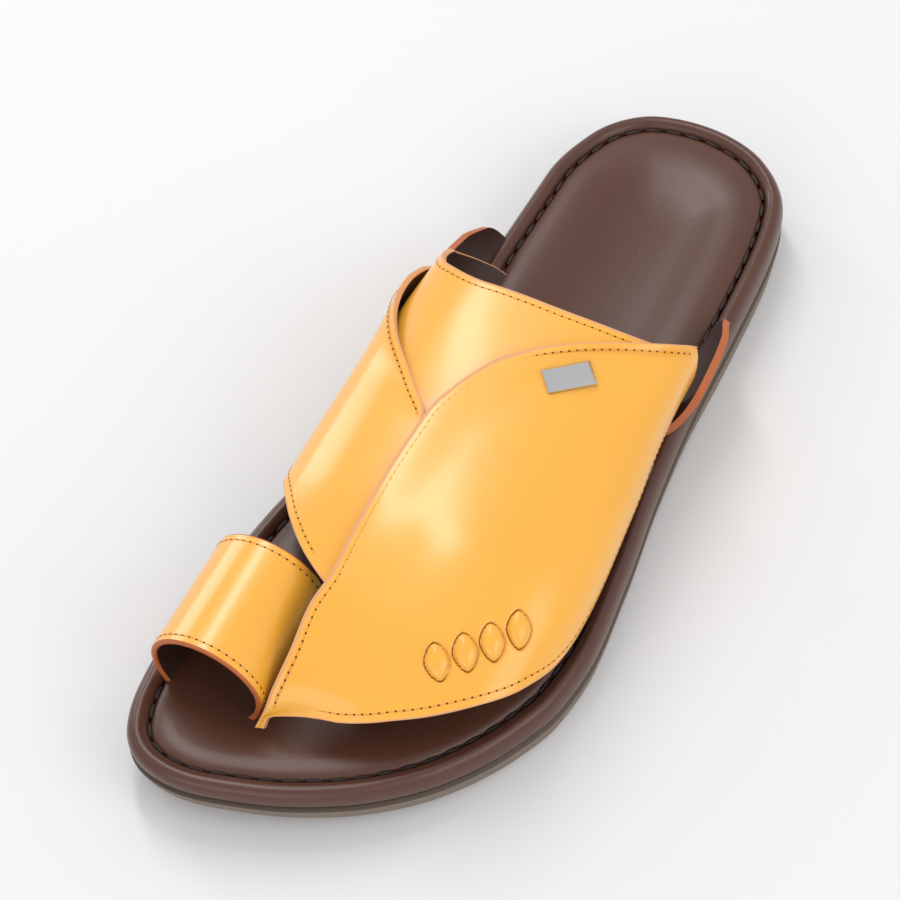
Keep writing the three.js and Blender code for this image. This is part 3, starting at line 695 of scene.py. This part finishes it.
def tube_points(path, across, up, radius):
    """A thin closed tube along a closed path, as points and faces."""
    count = len(path)
    turn = 2 * np.pi * np.arange(TUBE_SIDES) / TUBE_SIDES
    points = (path[:, None] + across[:, None] * (np.cos(turn)[None, :, None] * radius[:, None, None])
              + up[None, None] * (np.sin(turn)[None, :, None] * radius[:, None, None]))
    side = np.arange(TUBE_SIDES)[None, :]
    first = np.arange(count)[:, None] * TUBE_SIDES
    a = first + side
    b = first + (side + 1) % TUBE_SIDES
    c = np.mod(b + TUBE_SIDES, count * TUBE_SIDES)
    d = np.mod(a + TUBE_SIDES, count * TUBE_SIDES)
    return points.reshape(-1, 3), np.stack([a, b, c, d], -1).reshape(-1, 4)


slit_points = []
slit_faces = []
outside_points = vamp_outside.reshape(-1, 3)
for place, long_way, short_way, normal in puff_frames():
    turn = np.linspace(0, 2 * np.pi, SLIT_POINTS, endpoint=False)
    cosine = np.cos(turn)
    sine = np.sin(turn)
    corner = np.abs(cosine) ** PUFF_CORNER + np.abs(sine) ** PUFF_CORNER
    size = SLIT_PLACE / corner ** (1 / PUFF_CORNER)
    flat = np.outer(size * cosine * PUFF_LONG, long_way) + np.outer(size * sine * PUFF_SHORT, short_way)
    near = place + flat
    closest = np.argmin(((near[:, None] - outside_points[None]) ** 2).sum(-1), axis=1)
    level = (outside_points[closest] - near) @ normal
    path = near + np.outer(level - SLIT_SUNK, normal)
    outward = flat / np.linalg.norm(flat, axis=1, keepdims=True)
    # The painted shade in the slit is wider on one side of each window, where the shadow falls
    shade_width = np.clip(SLIT_SHADE_SIDE - SLIT_SHADE_SIDE * sine, SLIT_THIN, 1)
    points, faces = tube_points(path, outward, normal, SLIT_RADIUS * shade_width)
    slit_faces.append(faces + sum(len(p) for p in slit_points))
    slit_points.append(points)
add_piece("vamp_slit_shade", np.vstack(slit_points), np.vstack(slit_faces), [SLIT_SHADE], None, None)

# Metal
for node in ("rivet_lateral", "rivet_medial", "badge_plate"):
    metal_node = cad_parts[node]
    metal_node.data.materials.clear()
    metal_node.data.materials.append(METAL)

# Stitches: length, width and height of each thread or of each dark blob of painted shade in a needle hole,
# their spacing, and how far in the seams lie
BLOB_SIDES = 8
BLOB_RINGS = 4
THREAD_SIZE = (1.7, 0.55, 0.4)
HOLE_SIZE = (0.75, 0.6, 0.16)
STITCH_PITCH = 2.3
STITCH_INSET = 2.4
BED_STITCH_SIZE = (5.2, 1.3, 1.2)
BED_STITCH_PITCH = 6.4
BED_STITCH_INSET = 0.4
BED_STITCH_DROP = 2.0
INSET_ROUNDS = 5
SEAM_COLUMNS = 3

# Where the seams begin and end: along the foot on the vamp leaf, and by row on the other sheets
VAMP_INNER_SEAM = (-107, 39)
VAMP_OUTER_SEAM = (-108, 30)
INNER_REAR_SEAM = (78, 168)
INNER_OUTER_SEAM = (8, 150)
INSTEP_SEAM = slice(36, 184)
LOOP_SEAM = slice(10, 110)


def blob_template():
    """Points and faces of a rounded blob of half size 1, lying along its first axis."""
    points = []
    for ring_angle in np.linspace(-np.pi / 2, np.pi / 2, BLOB_RINGS + 2)[1:-1]:
        for turn in np.linspace(0, 2 * np.pi, BLOB_SIDES, endpoint=False):
            points.append((math.sin(ring_angle), math.cos(ring_angle) * math.cos(turn),
                           math.cos(ring_angle) * math.sin(turn)))
    points += [(-1, 0, 0), (1, 0, 0)]
    faces = []
    for r in range(BLOB_RINGS - 1):
        for t in range(BLOB_SIDES):
            a = r * BLOB_SIDES + t
            b = r * BLOB_SIDES + (t + 1) % BLOB_SIDES
            faces.append((a, b, b + BLOB_SIDES, a + BLOB_SIDES))
    low = BLOB_RINGS * BLOB_SIDES
    high = low + 1
    last = low - BLOB_SIDES
    for t in range(BLOB_SIDES):
        following = (t + 1) % BLOB_SIDES
        faces.append((low, following, t))
        faces.append((high, last + t, last + following))
    return np.array(points), faces


BLOB_POINTS, BLOB_FACES = blob_template()


def stitch_piece(name, centres, ahead, up, size, material):
    """Small rounded threads lying along a seam."""
    points = []
    faces = []
    for centre, along, normal in zip(centres, ahead, up):
        side = np.cross(normal, along)
        basis = np.stack([along, side, normal])
        faces += [tuple(i + len(points) * len(BLOB_POINTS) for i in f) for f in BLOB_FACES]
        points.append(centre + (BLOB_POINTS * np.array(size) / 2) @ basis)
    return add_piece(name, np.vstack(points), faces, [material], None, None, THREAD_SMOOTH)


def spaced(points, normal, pitch):
    """Evenly spaced places along a line of points, with direction and normal."""
    step = np.linalg.norm(np.diff(points, axis=0), axis=1)
    length = np.concatenate([[0], np.cumsum(step)])
    count = max(2, int(length[-1] / pitch))
    at = (np.arange(count) + 0.5) * length[-1] / count
    centre = np.stack([np.interp(at, length, points[:, k]) for k in range(3)], -1)
    front = np.stack([np.interp(at + ALONG_STEP, length, points[:, k]) for k in range(3)], -1)
    back = np.stack([np.interp(at - ALONG_STEP, length, points[:, k]) for k in range(3)], -1)
    direction = front - back
    direction /= np.linalg.norm(direction, axis=1, keepdims=True)
    up = np.stack([np.interp(at, length, normal[:, k]) for k in range(3)], -1)
    up -= direction * np.sum(up * direction, axis=1, keepdims=True)
    up /= np.linalg.norm(up, axis=1, keepdims=True)
    return centre, direction, up


def inset_line(surface, girth, along, lift, inset):
    """The line lying a distance in from an edge, on the surface; a negative inset goes to the other side."""
    points = lifted(surface, girth, along, lift)
    way = np.gradient(points, axis=0)
    way /= np.linalg.norm(way, axis=1, keepdims=True)
    goal = points + np.cross(normals(surface, girth, along), way) * inset
    for _ in range(INSET_ROUNDS):
        # Step within the surface toward the goal, by its two directions
        away = goal - lifted(surface, girth, along, lift)
        round_way, ahead = tangents(surface, girth, along)
        rr = np.sum(round_way * round_way, -1)
        ra = np.sum(round_way * ahead, -1)
        aa = np.sum(ahead * ahead, -1)
        ar = np.sum(away * round_way, -1)
        ah = np.sum(away * ahead, -1)
        det = rr * aa - ra * ra
        girth = girth + (ar * aa - ah * ra) / det
        along = along + (ah * rr - ar * ra) / det
    return lifted(surface, girth, along, lift), normals(surface, girth, along)


def seam(name, surface, girth, along, lift, inset):
    """A row of threads with a dark blob between each two, beside an edge: painted shade in the needle holes.
    """
    points, normal = inset_line(surface, girth, along, lift, inset)
    centre, way, up = spaced(points, normal, STITCH_PITCH)
    between = centre + way * STITCH_PITCH / 2
    stitch_piece(name + "_thread", centre, way, up, THREAD_SIZE, YELLOW_THREAD)
    stitch_piece(name + "_hole_shade", between, way, up, HOLE_SIZE, HOLE_SHADE)


def leaf_edge(grid, column, start, end):
    """Edge of a leaf, with the lift of its outside where the seam runs, a few columns in from the edge."""
    girth, along, lift = grid
    pick = slice(start, end)
    seam_column = column + SEAM_COLUMNS if column == 0 else column - SEAM_COLUMNS
    return girth[pick, column], along[pick, column], lift[pick, seam_column] + LEATHER


def vamp_edge(column, ends):
    """Edge of the vamp leaf between two places along the foot."""
    first, last = np.searchsorted(vamp_rows, ends)
    return leaf_edge(vamp_grid, column, first, last)


seam("vamp_inner_seam", hollow_point, *vamp_edge(0, VAMP_INNER_SEAM), -STITCH_INSET)
seam("vamp_outer_seam", hollow_point, *vamp_edge(-1, VAMP_OUTER_SEAM), STITCH_INSET)
seam("inner_rear_seam", hollow_point, *leaf_edge(inner_grid, 0, *INNER_REAR_SEAM), STITCH_INSET)
seam("inner_outer_seam", hollow_point, *leaf_edge(inner_grid, -1, *INNER_OUTER_SEAM), -STITCH_INSET)
instep_girth = strap_girths[INSTEP_SEAM, -1]
instep_along = strap_along[INSTEP_SEAM, -1]
instep_lift = np.full(len(instep_girth), LEATHER)
seam("instep_seam", hollow_point, instep_girth, instep_along, instep_lift, -STITCH_INSET)
for column, inset, name in ((0, STITCH_INSET, "loop_front_seam"), (-1, -STITCH_INSET, "loop_rear_seam")):
    edge_girth = loop_girth[LOOP_SEAM, column]
    edge_along = loop_along[LOOP_SEAM, column]
    seam(name, loop_point, edge_girth, edge_along, np.full(len(edge_girth), LEATHER), inset)

bed_line = ring(BEAD_WIDTH + BED_STITCH_INSET, 0, below_rim(BED_STITCH_DROP))
bed_line = np.vstack([bed_line, bed_line[:1]])
bed_up = np.tile((0.0, 0.0, 1.0), (len(bed_line), 1))
centre, way, up = spaced(bed_line, bed_up, BED_STITCH_PITCH)
stitch_piece("footbed_stitches", centre, way, up, BED_STITCH_SIZE, DARK_THREAD_AND_GAP_SHADE)

# Floor, light and camera, in metres; each light has a place, a target, a size and a power
FLOOR_HALF = 3
WORLD_STRENGTH = 0.74
LIGHTS = {
    "top_strip": ((-0.38, 0.35, 0.95), (0, 0, 0), (0.14, 0.8), 3.3),
    "left_box": ((-0.95, 0.35, 0.35), (0, 0, 0.03), (0.15, 0.5), 1.2),
    "right_box": ((0.9, -0.1, 0.7), (0, 0, 0.03), (0.7, 0.6), 2.6),
    "front_box": ((0.1, -1.0, 0.45), (0, 0, 0.0), (0.9, 0.5), 2.0),
}

floor_corners = [(x * FLOOR_HALF, y * FLOOR_HALF, 0) for x, y in ((-1, -1), (1, -1), (1, 1), (-1, 1))]
floor_mesh = bpy.data.meshes.new("floor")
floor_mesh.from_pydata(floor_corners, [], [(0, 1, 2, 3)])
floor_material = leather("floor_paint", (0.80, 0.80, 0.808), 0.7)
floor_mesh.materials.append(floor_material)
floor = bpy.data.objects.new("floor", floor_mesh)
bpy.context.scene.collection.objects.link(floor)

bpy.context.scene.view_settings.view_transform = "Standard"
world = bpy.data.worlds.new("studio")
bpy.context.scene.world = world
world.use_nodes = True
background = world.node_tree.nodes["Background"]
background.inputs["Color"].default_value = (1, 1, 1, 1)
background.inputs["Strength"].default_value = WORLD_STRENGTH


def area_light(name, place, target, size, power):
    """A rectangular light facing a target."""
    data = bpy.data.lights.new(name, "AREA")
    data.shape = "RECTANGLE"
    data.size, data.size_y = size
    data.energy = power
    lamp = bpy.data.objects.new(name, data)
    lamp.location = place
    lamp.rotation_euler = (Vector(target) - Vector(place)).to_track_quat("-Z", "Y").to_euler()
    bpy.context.scene.collection.objects.link(lamp)


for light_name, settings in LIGHTS.items():
    area_light(light_name, *settings)

# Camera fitted to the photo: place and sensor in millimetres, focal length and centre in photo pixels
CAMERA_PLACE = np.array((256.707, -457.336, 725.539)) * MM
CAMERA_RIGHT = np.array((0.87153631, 0.48792628, -0.04850167))
CAMERA_UP = np.array((-0.35566566, 0.69716688, 0.62246307))
CAMERA_BACK = np.array((0.33752985, -0.52524879, 0.78114487))
PHOTO_FOCAL = 1966.34
PHOTO_SIZE = 900
SENSOR = 36.0
SHOE_CENTRE = (491.0, 517.0)
ZOOM = 1.55

aim = (CAMERA_RIGHT * (SHOE_CENTRE[0] - PHOTO_SIZE / 2) - CAMERA_UP * (SHOE_CENTRE[1] - PHOTO_SIZE / 2)
       - CAMERA_BACK * PHOTO_FOCAL)
back = -aim / np.linalg.norm(aim)
right = np.cross(CAMERA_UP, back)
right /= np.linalg.norm(right)
up_way = np.cross(back, right)
camera_data = bpy.data.cameras.new("camera")
camera_data.sensor_width = SENSOR
camera_data.lens = PHOTO_FOCAL * SENSOR / PHOTO_SIZE * ZOOM
camera = bpy.data.objects.new("camera", camera_data)
axes = np.column_stack([right, up_way, back, CAMERA_PLACE])
camera.matrix_world = Matrix([*axes.tolist(), [0, 0, 0, 1]])
bpy.context.scene.collection.objects.link(camera)
bpy.context.scene.camera = camera

bpy.context.view_layer.update()
